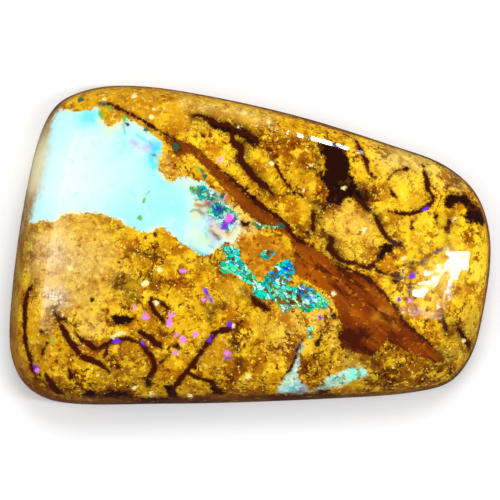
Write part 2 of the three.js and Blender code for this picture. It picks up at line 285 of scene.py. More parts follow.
# Soft patches of tone: where each is strongest, how far it reaches, its tone and its share there.
IRONSTONE_TONES = (
    (-7.2, 9.6, 3.6, "ochre", 0.8), (-2.4, 8.15, 1, "umber", 0.6), (-0.1, 7.2, 0.9, "umber", 0.6),
    (-2.65, 6.75, 1.3, "bright", 0.7), (-1.45, 5.6, 1.6, "bright", 0.9), (-0.15, 4, 1.2, "bright", 0.6),
    (2.15, 6.75, 1.85, "ochre", 0.8), (1.2, 7.9, 1.4, "ochre", 0.5), (3.3, 4.4, 1.6, "sienna", 0.4),
    (4.05, 4.9, 0.9, "rust", 0.5), (2.3, 2.75, 1.7, "gold", 0.6), (7.3, 5.6, 1.2, "bright", 0.5),
    (10, 5.7, 1.5, "reed", 0.8), (12.2, 4.9, 1, "reed", 0.7), (13.6, 4.1, 0.75, "dove", 0.95),
    (-0.55, 1.1, 0.75, "buff", 0.95), (-1.2, 0.4, 0.6, "buff", 0.8), (-0.9, 2, 0.5, "buff", 0.7),
    (6.9, -1.6, 0.8, "bright", 0.5), (10.3, 1.2, 1.3, "bright", 0.9), (-12.5, -8.2, 1.8, "sienna", 0.5),
    (8, -8.2, 1.3, "rust", 0.8), (10, -7.9, 1.6, "umber", 0.5), (13, -1.6, 1.6, "bright", 0.8),
    (9.2, -0.9, 0.9, "bright", 0.6), (10.5, 3.6, 1.7, "bright", 0.9), (9.4, 1.25, 0.9, "rust", 0.4),
    (11.7, 0.85, 1.85, "bright", 0.8), (14.3, 0.4, 1.6, "bright", 0.85),
    (14.8, -1.8, 1.6, "lemon", 0.7), (6.7, 1.25, 1.8, "sand", 0.45), (6.7, -0.2, 1.2, "bright", 0.4),
    (8.9, -2.4, 1.6, "bright", 0.6), (9.85, -3.1, 1.7, "lemon", 0.4), (12.5, -3.6, 1.7, "bright", 0.5),
    (11.5, -5.5, 1.6, "bright", 0.8), (14.5, -5.4, 1.2, "olive", 0.6), (13.55, -7.3, 0.9, "olive", 0.6),
    (9.5, -7.05, 1.7, "ochre", 0.6), (11.15, -8.75, 2.65, "rust", 0.95), (9.3, -8.3, 1.8, "rust", 0.8),
    (12.6, -8, 1.1, "umber", 0.5), (8.3, -9.2, 1.6, "umber", 0.55), (6.55, -7.7, 1.2, "olive", 0.5),
    (-2.4, -6.9, 1.1, "ochre", 0.8), (1.35, -8.1, 1, "bright", 0.8), (0.8, -5.85, 1.2, "rust", 0.4),
    (2.65, -5.6, 1.45, "straw", 0.4), (4.05, -7.9, 1.1, "rust", 0.8), (4.75, -4.8, 1.3, "straw", 0.4),
    # On the left, the pale sand at (-12.3, -0.6) and (-10.6, -1.6) is sandy ironstone, partly made paler
    # as painted light from the left lamp's glare, and the chalky white at (-12.8, -3.5) and (-13, -0.6)
    # is painted glare.
    (-0.65, -9.4, 2.25, "rust", 0.6), (-12.3, -0.6, 2.4, "sand", 0.9), (-10.6, -1.6, 2.3, "sand", 0.8),
    (-10.75, -2.6, 1.5, "olive", 0.3), (-12.8, -3.5, 0.8, "painted_glare", 0.9),
    (-13, -0.6, 1.3, "painted_glare", 0.35), (-7.9, 0, 1.7, "gold", 0.5), (-5.6, -1.5, 2.25, "ochre", 0.5),
    (-5.5, 5, 0.9, "sand", 0.6), (-9.05, -3.1, 1.45, "gold", 0.5), (-10.4, -5.4, 1.1, "straw", 0.7),
    (-12.6, -7.2, 1.5, "ochre", 0.4), (-12.75, -9.4, 1.6, "rust", 0.7), (-8, -7.5, 1.6, "sienna", 0.85),
    (-8, -7.6, 1.3, "rust", 0.35), (-10.1, -8.8, 1.2, "bright", 0.3), (-4.6, -7.95, 1.2, "ochre", 0.7),
    (-3.95, -9.65, 1.1, "rust", 0.4), (-8.55, -10.2, 3.3, "umber", 0.6),
)
OPAL_TONES = (
    # The milky white at (-11.5, 4.4) is partly the opal's own milky colour and partly painted glare from
    # the left lamps.
    (-11.5, 4.4, 2.95, "milk_and_glare", 0.9), (-10.5, 8.45, 0.85, "deep", 0.9), (-8.2, 6.8, 0.75, "deep", 0.8),
    (-6.25, 5.6, 0.7, "deep", 0.95), (-6.1, 6.6, 0.4, "deep", 0.9), (-5.5, 4.4, 0.8, "sky", 0.8),
    (-5.1, 2.45, 1.95, "sky", 0.8), (-7.2, 2.45, 1.45, "sky", 0.4), (-8, 1.5, 1.3, "sky", 0.6),
    (-9.3, 7.5, 0.9, "lime", 0.6), (-3.8, 3.9, 0.9, "lime", 0.7), (-3.4, 0.35, 1, "lime", 0.6),
    (-2.75, 2.7, 0.4, "clay", 0.9), (-3.4, 2.5, 0.5, "buff", 0.9), (-2, 3, 0.4, "clay", 0.8),
    (-1.7, 0.8, 0.6, "buff", 0.95), (-1.1, 0.8, 0.7, "buff", 0.95), (-2.35, 1.5, 0.35, "buff", 0.8),
    (-2.4, 0.9, 0.3, "clay", 0.7), (-0.8, 2, 0.6, "buff", 0.95), (-3.1, 1.9, 0.22, "moss", 0.6),
    (-2.55, 2.15, 0.18, "bottle", 0.7), (-1.65, 2.6, 0.22, "umber", 0.8),
    (-1.1, 2.35, 0.2, "clay", 0.8), (-2.95, 1.15, 0.2, "sea", 0.6), (-2.15, 0.5, 0.2, "clay", 0.7),
    (-1.3, 0.55, 0.22, "umber", 0.5), (-3.3, 2.2, 0.2, "clay", 0.7), (-2.3, 1.9, 0.16, "violet", 0.6),
    (-3.6, 1.7, 0.3, "buff", 0.7), (-3.7, -0.3, 0.3, "sea", 0.5), (-3, -0.5, 0.25, "sea", 0.5),
    (-8.7, 8, 0.5, "buff", 0.7), (-9.6, 8.4, 0.4, "buff", 0.7), (-2.6, 1.6, 0.4, "lilac", 0.7),
    (-1.7, 1.1, 0.5, "lilac", 0.8), (-2.5, 0.2, 0.45, "lilac", 0.6), (-6.6, 6.5, 0.45, "lilac", 0.6),
    (-7.5, 6.5, 0.4, "lilac", 0.4), (3.3, -7.05, 0.8, "frost", 0.95), (2.5, -8.9, 0.8, "frost", 0.9),
    (2.9, -9.5, 0.4, "sea", 0.9), (3.5, -9.65, 0.35, "ink", 0.8), (2.3, -8.6, 0.4, "lime", 0.6),
    (4.6, -9.6, 1.1, "dusk", 0.9), (5.8, -8.9, 0.8, "frost", 0.9), (6.9, -8.5, 0.7, "mint", 0.95),
)
FIRE_TONES = (
    (-1.45, -0.45, 0.7, "cyan", 0.9), (-1.3, -1.4, 0.7, "teal", 0.9), (-0.25, -1.9, 0.6, "mint", 0.9),
    (0.45, -2.5, 0.5, "green", 0.8), (1.3, -2.85, 0.6, "cyan", 0.9), (2.3, -1.5, 0.7, "blue", 0.9),
    (1.7, -2.1, 0.55, "blue", 0.8), (2, -1.3, 0.3, "teal", 0.8), (1.95, -3, 0.65, "mint", 0.9),
    (2.35, -4.05, 0.4, "white", 0.8), (3, -3.95, 0.55, "lime", 0.9), (3.5, -3, 0.4, "violet", 0.9),
    (4.05, -3.55, 0.4, "violet", 0.8), (4.25, -4.15, 0.45, "teal", 0.9),
    (4.8, -3.75, 0.45, "mint", 0.9), (-2.1, 2.4, 0.5, "ink", 0.95), (-1.75, 2.05, 0.25, "cyan", 0.9),
    (-1.35, 1.7, 0.4, "magenta", 1), (-1.7, 1.25, 0.35, "violet", 0.8), (-3, 3.35, 0.6, "sea", 0.8),
    (1.2, -0.6, 0.55, "sea", 0.9), (3.95, -5.65, 0.4, "mint", 0.9), (0.9, 1.25, 0.9, "moss", 0.95),
)
SEAM_TONES = (
    (-4.6, 6.4, 1.3, "maple", 0.8), (-1.5, 4.2, 1.2, "maple", 0.5), (3.9, -2.1, 1.7, "copper", 0.9),
    (2.2, 0.7, 1.2, "copper", 0.4), (5.3, -3.4, 1.4, "copper", 0.6), (7, -3.2, 1.6, "mahogany", 0.6),
    (8.6, -4, 1.6, "mahogany", 0.7), (9.8, -5.6, 1.5, "mahogany", 0.8),
    (7.4, -5.6, 1.5, "mahogany", 0.7), (11.6, -6.9, 1.2, "mahogany", 0.6),
    (5.6, -1.5, 0.9, "mahogany", 0.7), (6.6, -2.1, 0.8, "mahogany", 0.8),
    (8.8, -4.5, 0.5, "amber", 0.7), (9.4, -5.1, 0.35, "amber", 0.6), (8.3, -4.9, 0.3, "amber", 0.5),
    (6.9, -4.4, 0.5, "copper", 0.6), (10.9, -6.7, 0.3, "copper", 0.5), (12.4, -7.4, 0.5, "soot", 0.9),
    (9.8, -6, 0.6, "burnt", 0.6), (11, -6.3, 0.4, "burnt", 0.6), (6.2, -5, 0.5, "burnt", 0.5),
    (8, -6.2, 0.5, "copper", 0.4),
)
# The wall's tones: the tan and olive are the stone's own colours, and the maroon and russet along the
# edges are painted shade, darkest at the lower edge.
WALL_TONES_AND_SHADE = (
    (-14.3, 5.2, 3.6, "tan", 0.98), (-15.4, -2.5, 3.5, "olive", 0.5), (-13, 9.5, 1.5, "shade_maroon", 0.4),
    (-6, -10.5, 5.5, "shade_maroon", 0.98), (3, -10.2, 5, "shade_maroon", 0.8), (-3, 10, 2, "shade_maroon", 0.5),
    (5, 8.2, 3, "shade_russet", 0.8), (12.5, 5.5, 3, "shade_maroon", 0.5), (13.5, -8.5, 3, "shade_maroon", 0.7),
)

# Where the ironstone is smooth and even: the place, its reach and how smooth.
CALM = (
    (-11.6, -0.6, 3.4, 0.65), (-11, -2.6, 2, 0.6), (-8, 9.5, 3.4, 0.7), (-4, 9.3, 2, 0.6),
    (-2.4, -7, 1.2, 0.7), (-0.9, -3, 1.2, 0.5), (10.3, 5.7, 1.4, 0.6), (-14.6, -6, 2, 0.4),
    (0, 9.2, 2, 0.5), (6.8, 0.8, 2, 0.35), (12.8, -1.5, 2, 0.4), (10.5, 3.6, 1.3, 0.45),
    (11, 1, 1.4, 0.4), (-1.6, 5.5, 1, 0.3), (-14.2, 5.4, 2.6, 0.85),
)

# Grains of one colour: the place and radius of round ones, and the width and run of long ones.
ROUND_GRAINS = {
    "violet": ((-14.1, -7.95, 0.15), (-1.4, -5.22, 0.14), (4.55, -4.75, 0.13), (10.65, -2, 0.2),
        (9.8, -3.55, 0.11), (-1.7, 1.2, 0.16), (-1.95, 1.75, 0.14), (-1.2, 1.45, 0.13)),
    "orchid": ((-14, -8.2, 0.12), (-6.85, -4.7, 0.2), (-5.15, -4.6, 0.2), (-4.4, -6.2, 0.2),
        (-4.8, -5.85, 0.12), (-4.9, -7.05, 0.14), (-7.55, -4.15, 0.12), (-3.6, -5.85, 0.16),
        (-1.45, -7.05, 0.16), (-1.95, 5.6, 0.12), (10.5, -3.65, 0.13), (-1.65, 3.15, 0.13),
        (-3, -3.55, 0.14)),
    "leaf": ((-7.2, 1.75, 0.17), (-8.2, 8.3, 0.16), (-9.2, 9, 0.14), (-3.3, 5.0, 0.16)),
    "magenta": ((-1.45, 1.72, 0.24),),
    "ink": ((-2.1, 2.35, 0.2), (-1.85, 2.1, 0.14)),
    "bottle": ((-4.9, 6.4, 0.2), (-6.85, 7.5, 0.14), (-9.6, 9.25, 0.18), (-2.95, 4.5, 0.18),
        (2.05, 1.25, 0.16), (-11.1, 9.6, 0.2), (-1.75, 3.2, 0.15)),
    "night": ((-8, 7.9, 0.15), (-6.3, 5.9, 0.1)),
    "pale": ((-12.25, -4.6, 0.13), (-11.8, -1.5, 0.18), (-5.9, -1.65, 0.12), (-6.1, -3.8, 0.13),
        (-1.05, -5.3, 0.12), (-7.6, -9.4, 0.12), (-6.5, -9.75, 0.19), (-3.95, -10, 0.18),
        (-0.15, -8.65, 0.18), (6.15, 3.8, 0.1), (14.05, -6.3, 0.1), (5.5, -3.15, 0.12),
        (-6.3, 8.9, 0.11), (-6.45, 8.4, 0.14), (-9.6, 9.6, 0.12), (-7.6, 9.8, 0.12), (3.5, 3.6, 0.1),
        (1.45, 5.35, 0.14), (-0.8, 7.75, 0.11), (3.95, 5.25, 0.12), (1.2, 8.1, 0.11),
        (-6.85, -2.5, 0.22), (-0.3, 8.7, 0.12), (10.1, -0.9, 0.12), (7.4, 0.95, 0.2),
        (13.45, 1.7, 0.16)),
    "black": ((5.5, -4.65, 0.19), (-10.35, -3.6, 0.14), (-6.9, -0.55, 0.12), (-6.3, -0.15, 0.11),
        (-6.2, 0.65, 0.15), (4.45, -6.45, 0.2), (3.4, 3.2, 0.15), (2.8, 3.4, 0.13),
        (-0.25, 3.7, 0.15), (0.25, 3.1, 0.18), (-8.6, -1.1, 0.1), (-4.85, -6.6, 0.2),
        (-13.6, -5.7, 0.16), (-6.65, -9.1, 0.3), (2.5, -5.85, 0.14), (-0.85, -7.7, 0.14),
        (3.4, 0.4, 0.14), (-7.4, 0.35, 0.09), (9.5, -2.4, 0.12), (11.6, -5.1, 0.1)),
}
LONG_GRAINS = {
    "violet": ((0.2, [(-3, -2.85), (-2.8, -3.2), (-2.5, -3.7)]), (0.14, [(-9, -6.4), (-8.5, -6.25)]),
        (0.16, [(-7.05, -6.4), (-6.75, -6.65)]), (0.16, [(-2.75, -6.3), (-2.5, -6)]),
        (0.18, [(11.35, 2.25), (11.7, 2.45)]), (0.16, [(-1.5, -7.45), (-1.15, -7.35)])),
    "orchid": ((0.26, [(-5.25, -4.9), (-5.3, -5.4)]), (0.15, [(-4.6, -1.65), (-4.25, -1.8)])),
    "leaf": ((0.16, [(-13.2, -6.3), (-12.85, -6.15)]), (0.08, [(-6.6, 3.5), (-6.85, 3.1), (-7, 2.75)]),
        (0.18, [(-8.35, 8.55), (-8, 8.2)]), (0.16, [(-9.9, 8.7), (-9.7, 8.35)])),
    "bottle": ((0.18, [(-10, 9.35), (-9.6, 9.25)]), (0.18, [(-9.45, 9.15), (-9.05, 8.95)]),
        (0.2, [(-3.4, 5.1), (-3.05, 4.75)])),
    "pale": ((0.2, [(-9.1, -6.0), (-8.7, -5.85), (-8.1, -5.75)]),),
    "black": ((0.24, [(-5.1, -6.55), (-4.5, -6.8)]),),
}

# How high the wall's colour reaches all round the stone, by direction in degrees from +X; that colour is
# partly painted shade
WALL_TOPS = (
    (-180, 3.6), (-160, 3.8), (-140, 3.8), (-125, 3.7), (-100, 3.7), (-60, 3.3), (-30, 2.6),
    (0, 2.7), (30, 2.6), (55, 2.8), (75, 2.7), (90, 2.5), (120, 2.4), (140, 2.8), (155, 4),
    (165, 4.1), (173, 3.7), (180, 3.6),
)

# Colours, as sRGB hex
COLOURS = {
    "seam": "743404", "copper": "a45004", "maple": "723604", "mahogany": "7a3004",
    # The chalky white on the next line is painted glare, a reflection of the left lamp.
    "straw": "e8ca62", "sand": "e2ba5c", "painted_glare": "eadcc8", "bright": "fad01e", "gold": "dcaa0e",
    "ochre": "c68c02", "rust": "8c5004", "umber": "482004", "olive": "a8923a", "crack": "3c0f03",
    # The wall's brown and the maroon on the next line are painted shade, the brown only in part.
    "soot": "220903", "wall": "a06a18", "tan": "e4dcb0", "shade_maroon": "4a1204",
    # The milky white on the next line is partly the opal's own colour and partly painted glare.
    "milk_and_glare": "d8f0f0", "sky": "90e6ea", "deep": "58d4ea", "lime": "cce8b0", "cream": "d8c896",
    "lilac": "b4a8dc", "ice": "b4ecea", "frost": "b4d4ac", "dusk": "8c8474", "sea": "30b8c4",
    "cyan": "24d2d8", "teal": "2cdcb8", "mint": "84f0cc", "green": "4cd46c", "blue": "2090ee",
    "white": "d8f4ea", "magenta": "ee62f4", "violet": "6e2cd0", "ink": "1c2c94",
    "orchid": "e07cea", "leaf": "5eae34", "bottle": "1e5a40", "night": "1c1c50", "pale": "f4e096",
    "black": "140602", "slate": "46462c", "buff": "e8cc84", "moss": "5c6420", "clay": "8c6434",
    # The russet on the next line is painted shade along the top edge.
    "dove": "8c7858", "reed": "ccc070", "amber": "d48c1c", "shade_russet": "7c3a10",
    "sienna": "b06a04", "lemon": "ffe440", "burnt": "521a02",
}

# How the material draws each mark's edge: the attribute that holds its depth, how far noise pushes the
# edge and how soft it is, and how strong the mark is inside it where that is less than 1
EDGES = {
    "opal": ("opal_inside", 1.1, 0.06),
    "vein": ("vein_inside", 1.4, 0.14),
    "seam": ("seam_inside", 1.0, 0.08),
    "dark seam": ("dark_seam_inside", 2.4, 0.4),
    "pocket": ("pocket_inside", 0.8, 0.05),
    "black": ("black_inside", 1.3, 0.12),
    "crack": ("crack_inside", 0.7, 0.07),
    "round cracks": ("crack_inside", 1.6, 0.32, 0.9),
    "fire": ("fire_inside", 1.2, 0.04),
    "round fire": ("fire_inside", 1.6, 0.18, 0.8),
    "grains": ("grain_inside", 0.9, 0.09),
    "wall": ("wall_inside", 1.8, 0.4),
}

# The patterns in the material. A stretch is along, across and through the streaks or flakes.
NOISE_MIDDLE = 0.5  # the middle of the values that noise takes
COARSE_SHARE = 0.6  # how much the coarse noise pushes an edge
FINE_SHARE = 0.25  # how much the fine noise does
SEAM_TURN = -40  # degrees: how the seam's streaks lie
SEAM_STRETCH = (3.0, 0.8, 1.0)
FLAKE_TURN = -38  # degrees: how the flakes of the play of colour lie
FLAKE_STRETCH = (1.3, 0.8, 1.0)
FLAKE_SCALE = 4.0  # flakes in a millimetre, before the stretch
FLAKE_BEND = (0.5, 0.5, 0.5)  # how far noise bends them
FLAKE_HUES = (0.42, 0.57)  # where 0.5 is the painted hue
FLAKE_VALUES = (0.35, 1.35)  # where 1 is the painted brightness
MISSING_FLAKES = 0.16  # the share of them that isn't there
DOT_CORE = 0.6  # the share of a dot's radius where it is at its strongest
VEINLET_DETAIL = 4
VEINLET_CORE = 0.2  # the share of a veinlet's width where it is at its strongest
OPAL_RIM = 0.4  # how far the opal's greenish rim reaches into it

# The polish
IRONSTONE_ROUGHNESS = (0.06, 0.03)
OPAL_ROUGHNESS = 0.04
CRACK_ROUGHNESS = 0.1
WAVE_HEIGHT = 0.014  # how high the polished face waves
GRIT_SHARE = 0.025  # the height of its grit, as a share of the waves

# The studio, in metres
FLOOR_SIZE = 1.6
WORLD_STRENGTH = 0.64
WORLD_IN_MIRROR = 0.05  # its strength in what the stone mirrors
CAMERA_PLACE = (0, -0.33 * MM, 0.3)  # above the point that is in the middle of the photo
LENS = 324  # in millimetres, as the sensor's width is
SENSOR_WIDTH = 36
# Each light's place, its size and its radiance, which is what a mirror would show of it. Two more
# values follow where they differ from white and True: its colour, and whether the stone mirrors it.
LIGHTS = {
    "key": ((0.05, 0.30, 0.42), (0.30, 0.20), 6, "ffffff", False),
    "side fill": ((-0.30, -0.10, 0.40), (0.25, 0.25), 2, "ffffff", False),
    "left panel": ((-0.27, 0.07, 0.42), (0.20, 0.09), 2.6),
    "inner left panel": ((-0.18, 0.06, 0.46), (0.20, 0.07), 0.9),
    "right glint": ((0.180, -0.005, 0.476), (0.009, 0.026), 46),
    "second right glint": ((0.159, -0.012, 0.483), (0.008, 0.015), 44),
    "third right glint": ((0.180, -0.023, 0.474), (0.005, 0.006), 26),
    "right edge glint": ((0.325, -0.018, 0.38), (0.028, 0.34), 24),
    "back glint": ((0.135, 0.458, 0.06), (0.010, 0.13), 46),
    "lavender tube": ((0.170, -0.034, 0.48), (0.002, 0.055), 20, "ccc4ff"),
}


def linear(colour):
    """The linear colour of an sRGB hex value or of a name in COLOURS."""
    hex_value = COLOURS.get(colour, colour)
    channels = [int(hex_value[i:i + 2], 16) / 255 for i in (0, 2, 4)]
    return tuple(c / 12.92 if c <= 0.04045 else ((c + 0.055) / 1.055) ** 2.4 for c in channels)


def rgba(colour):
    return (*linear(colour), 1)


# The mesh

def select_only(piece):
    """Makes one object the only selected one and the active one."""
    bpy.ops.object.select_all(action="DESELECT")
    piece.select_set(True)
    bpy.context.view_layer.objects.active = piece


def apply_modifier(piece, kind, settings):
    """Adds a modifier with its settings and applies it."""
    modifier = piece.modifiers.new(kind.lower(), kind)
    for name, value in settings.items():
        setattr(modifier, name, value)
    select_only(piece)
    bpy.ops.object.modifier_apply(modifier=modifier.name)


def vertex_places(piece):
    """Where each vertex is, in millimetres."""
    places = np.empty(len(piece.data.vertices) * 3)
    piece.data.vertices.foreach_get("co", places)
    return places.reshape(-1, 3) / MM


def copy_solid():
    """A copy of the CAD solid as quads, with a UV map cut along the girdle."""
    piece = frame["nodes"]["boulder_opal"].copy()
    piece.data = piece.data.copy()
    piece.name = "polished_stone"
    piece.parent = None
    del piece["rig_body"], piece["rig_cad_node"]
    bpy.context.scene.collection.objects.link(piece)
    piece.data.materials.clear()
    while piece.data.uv_layers:
        piece.data.uv_layers.remove(piece.data.uv_layers[0])
    select_only(piece)
    bpy.ops.mesh.customdata_custom_splitnormals_clear()
    bpy.ops.object.mode_set(mode="EDIT")
    bpy.ops.mesh.select_all(action="SELECT")
    bpy.ops.mesh.remove_doubles(threshold=MERGE_DISTANCE)
    bpy.ops.mesh.tris_convert_to_quads(face_threshold=math.pi, shape_threshold=math.pi)
    bpy.ops.object.mode_set(mode="OBJECT")
    heights = vertex_places(piece)[:, 2]
    on_girdle = np.abs(heights - GIRDLE_HEIGHT) < GIRDLE_BAND
    for edge in piece.data.edges:
        edge.use_seam = bool(on_girdle[edge.vertices[0]] and on_girdle[edge.vertices[1]])
    piece.data.uv_layers.new(name="OFBake")
    bpy.ops.object.mode_set(mode="EDIT")
    bpy.ops.mesh.select_all(action="SELECT")
    bpy.ops.uv.unwrap(method="ANGLE_BASED", margin=ISLAND_MARGIN)
    bpy.ops.uv.pack_islands(margin=ISLAND_MARGIN)
    bpy.ops.object.mode_set(mode="OBJECT")
    return piece


def thin_out(piece, lowest, highest, share):
    """Keeps only a share of the faces whose middles lie between two heights."""
    select_only(piece)
    centres = np.empty(len(piece.data.polygons) * 3)
    piece.data.polygons.foreach_get("center", centres)
    heights = centres.reshape(-1, 3)[:, 2] / MM
    chosen = (heights > lowest) & (heights < highest)
    piece.data.vertices.foreach_set("select", np.zeros(len(piece.data.vertices), bool))
    piece.data.edges.foreach_set("select", np.zeros(len(piece.data.edges), bool))
    piece.data.polygons.foreach_set("select", chosen)
    bpy.ops.object.mode_set(mode="EDIT")
    bpy.ops.mesh.select_mode(type="FACE")
    bpy.ops.mesh.decimate(ratio=share)
    bpy.ops.object.mode_set(mode="OBJECT")


def make_stone():
    """The solid with a fine mesh on its polished face, and a coarser one on its wall and back."""
    piece = copy_solid()
    apply_modifier(piece, "SUBSURF", {"levels": FINE_LEVELS, "render_levels": FINE_LEVELS})
    thin_out(piece, BELOW_BACK, GIRDLE_HEIGHT, BACK_SHARE)
    thin_out(piece, GIRDLE_HEIGHT, WALL_HEIGHT, WALL_SHARE)
    return piece


# How far each vertex is from each mark

def smooth_through(points, closed):
    """Points along a smooth curve that passes through the given ones."""
    points = np.array(points, float)
    if closed:
        before, after = np.roll(points, 1, axis=0), np.roll(points, -2, axis=0)
        start, end = points, np.roll(points, -1, axis=0)
    else:
        first, last = 2 * points[0] - points[1], 2 * points[-1] - points[-2]
        longer = np.vstack([first, points, last])
        before, start, end, after = longer[:-3], longer[1:-2], longer[2:-1], longer[3:]
    share = np.arange(CURVE_STEPS)[:, None, None] / CURVE_STEPS
    curve = (
        2 * start
        + (end - before) * share
        + (2 * before - 5 * start + 4 * end - after) * share**2
        + (3 * start - before - 3 * end + after) * share**3
    ) / 2
    curve = curve.transpose(1, 0, 2).reshape(-1, 2)
    return np.vstack([curve, points[0] if closed else points[-1]])


def nearest_on_line(places, line):
    """How far each place is from a line, and how far along the line it is nearest, from 0 to 1."""
    gap = np.full(len(places), np.inf)
    along = np.zeros(len(places))
    for step, (start, end) in enumerate(zip(line[:-1], line[1:])):
        run = end - start
        share = np.clip((places - start) @ run / (run @ run), 0, 1)
        here = np.hypot(*(places - start - share[:, None] * run).T)
        closer = here < gap
        gap[closer] = here[closer]
        along[closer] = (step + share[closer]) / (len(line) - 1)
    return gap, along


def is_inside(places, line):
    """Which places lie inside a closed line."""
    inside = np.zeros(len(places), bool)
    for start, end in zip(line[:-1], line[1:]):
        if start[1] == end[1]:
            continue
        level = (start[1] > places[:, 1]) != (end[1] > places[:, 1])
        crossing = start[0] + (end[0] - start[0]) * (places[:, 1] - start[1]) / (end[1] - start[1])
        inside ^= level & (places[:, 0] < crossing)
    return inside


def near(places, line, reach):
    """Which places lie in the box round a line, with room to spare."""
    return np.all((places > line.min(axis=0) - reach) & (places < line.max(axis=0) + reach), axis=1)


def depth_inside(places, *outlines):
    """How deep each place lies inside any of the outlines, and negative outside them."""
    deepest = np.full(len(places), -FAR)
    for outline in outlines:
        line = smooth_through(outline, closed=True)
        here = near(places, line, FAR)
        gap, _ = nearest_on_line(places[here], line)
        depth = np.where(is_inside(places[here], line), gap, -gap)
        deepest[here] = np.maximum(deepest[here], depth)
    return deepest


def depth_in_cracks(places, cracks):
    """How deep each place lies in any of the cracks, which narrow towards their ends."""
    deepest = np.full(len(places), -FAR)
    for width, points in cracks:
        line = smooth_through(points, closed=False)
        here = near(places, line, FAR)
        gap, along = nearest_on_line(places[here], line)
        narrowing = np.clip(np.minimum(along, 1 - along) / CRACK_TAPER, CRACK_TIP, 1)
        deepest[here] = np.maximum(deepest[here], width / 2 * narrowing - gap)
    return deepest


def distance(places, x, y):
    return np.hypot(places[:, 0] - x, places[:, 1] - y)


def depth_in_grains(places, grains):
    deepest = np.full(len(places), -FAR)
    for x, y, radius in grains:
        deepest = np.maximum(deepest, radius - distance(places, x, y))
    return deepest


def measure_grains(places, limit):
    """How deep each place lies in a grain, but no deeper than its limit, and the grain's colour."""
    deepest = np.full(len(places), -FAR)
    colours = np.zeros((len(places), 3))
    for tone, grains in ROUND_GRAINS.items():
        long_grains = LONG_GRAINS.get(tone, ())
        depth = np.maximum(depth_in_grains(places, grains), depth_in_cracks(places, long_grains))
        depth = np.minimum(depth, limit)
        more = depth > deepest
        deepest[more] = depth[more]
        colours[more] = linear(tone)
    return deepest, colours


def ragged(places, reach):
    """The places pushed about by noise, so that what is painted over them has ragged edges."""
    noise.seed_set(DRIFT_SEED)
    pushes = [
        noise.turbulence_vector((x, y, 0), DRIFT_OCTAVES, False)[:2] for x, y in places * DRIFT_SCALE
    ]
    return places + reach * np.array(pushes)


def lay_over(colours, gap, reach, tone, share):
    """Lays a tone over colours, most where the gap is 0 and hardly where it is twice its reach."""
    amount = share * np.exp(-FALLOFF * (gap / reach) ** 2)
    colours += (linear(tone) - colours) * amount[:, None]


def painted(places, base, tones, smears=()):
    """The colour of each place: the base tone with soft patches and smears of other tones over it."""
    colours = np.tile(linear(base), (len(places), 1))
    for x, y, reach, tone, share in tones:
        lay_over(colours, distance(places, x, y), reach, tone, share)
    for tone, share, reach, points in smears:
        line = smooth_through(points, closed=False)
        here = near(places, line, 2 * reach)
        changed = colours[here]
        lay_over(changed, nearest_on_line(places[here], line)[0], reach, tone, share)
        colours[here] = changed
    return colours


def calm_share(places):
    """How smooth the ironstone is at each place, from 0 to 1."""
    calm = np.zeros(len(places))
    for x, y, reach, share in CALM:
        calm = np.maximum(calm, share * np.exp(-FALLOFF * (distance(places, x, y) / reach) ** 4))
    return calm


def add_numbers(piece, name, values):
    attribute = piece.data.attributes.new(name, "FLOAT", "POINT")
    attribute.data.foreach_set("value", values.astype(np.float32))


def add_colours(piece, name, colours):
    attribute = piece.data.attributes.new(name, "FLOAT_COLOR", "POINT")
    opaque = np.hstack([colours, np.ones((len(colours), 1))])
    attribute.data.foreach_set("color", opaque.ravel().astype(np.float32))


def add_marks(piece):
    """Measures every mark at every vertex, for the material to draw."""
    places = vertex_places(piece)
    height = places[:, 2]
    drop = np.clip(FACE_HEIGHT - height, 0, None)[:, None]
    face = places[:, :2] + DIP * drop
    drifted = ragged(face, DRIFT)
    on_face = height - OPAL_FLOOR
    turn = np.degrees(np.arctan2(places[:, 1], places[:, 0]))
    wall_top = np.interp(turn, *zip(*WALL_TOPS))
    grain_depth, grain_colours = measure_grains(face, on_face)
    numbers = {
        "opal_inside": np.minimum(depth_inside(face, OPAL_PATCH), on_face),
        "vein_inside": np.minimum(depth_inside(face, *OPAL_VEINS), on_face),
        "fire_inside": np.minimum(depth_inside(face, *FIRE_AREAS.values()), on_face),
        "seam_inside": depth_inside(face, BROWN_SEAM),
        "dark_seam_inside": depth_inside(face, DARK_SEAM),
        "pocket_inside": depth_inside(face, AMBER_POCKET),
        "black_inside": depth_inside(face, *BLACK_PATCHES.values()),
        "crack_inside": depth_in_cracks(face, CRACKS.values()),
        "wall_inside": wall_top - height,
        "grain_inside": grain_depth,
        "calm": calm_share(drifted),
    }
    tones = {
        "ironstone_tone": painted(drifted, "gold", IRONSTONE_TONES, IRONSTONE_SMEARS),
        "opal_tone": painted(drifted, "ice", OPAL_TONES, OPAL_SMEARS),
        "seam_tone": painted(drifted, "seam", SEAM_TONES),
        "fire_tone": painted(face, "teal", FIRE_TONES),
        # The wall's tones are partly painted shade along its edges.
        "wall_tone": painted(places[:, :2], "wall", WALL_TONES_AND_SHADE),
        "grain_tone": grain_colours,
    }
    for name, values in numbers.items():
        add_numbers(piece, name, values)
    for name, colours in tones.items():
        add_colours(piece, name, colours)


# The material

RGBA = {"data_type": "RGBA"}
MULTIPLY = {"data_type": "RGBA", "blend_type": "MULTIPLY"}
SMOOTH = {"interpolation_type": "SMOOTHSTEP"}


def add_node(tree, kind, settings=None, inputs=None):
    """Adds a node with its settings, and a link or a value for each input that is named.
    Gives its outputs."""
    node = tree.nodes.new("ShaderNode" + kind)
    for name, value in (settings or {}).items():
        setattr(node, name, value)
    for name, value in (inputs or {}).items():
        if isinstance(value, bpy.types.NodeSocket):
            tree.links.new(value, node.inputs[name])
        else:
            node.inputs[name].default_value = value
    return node.outputs


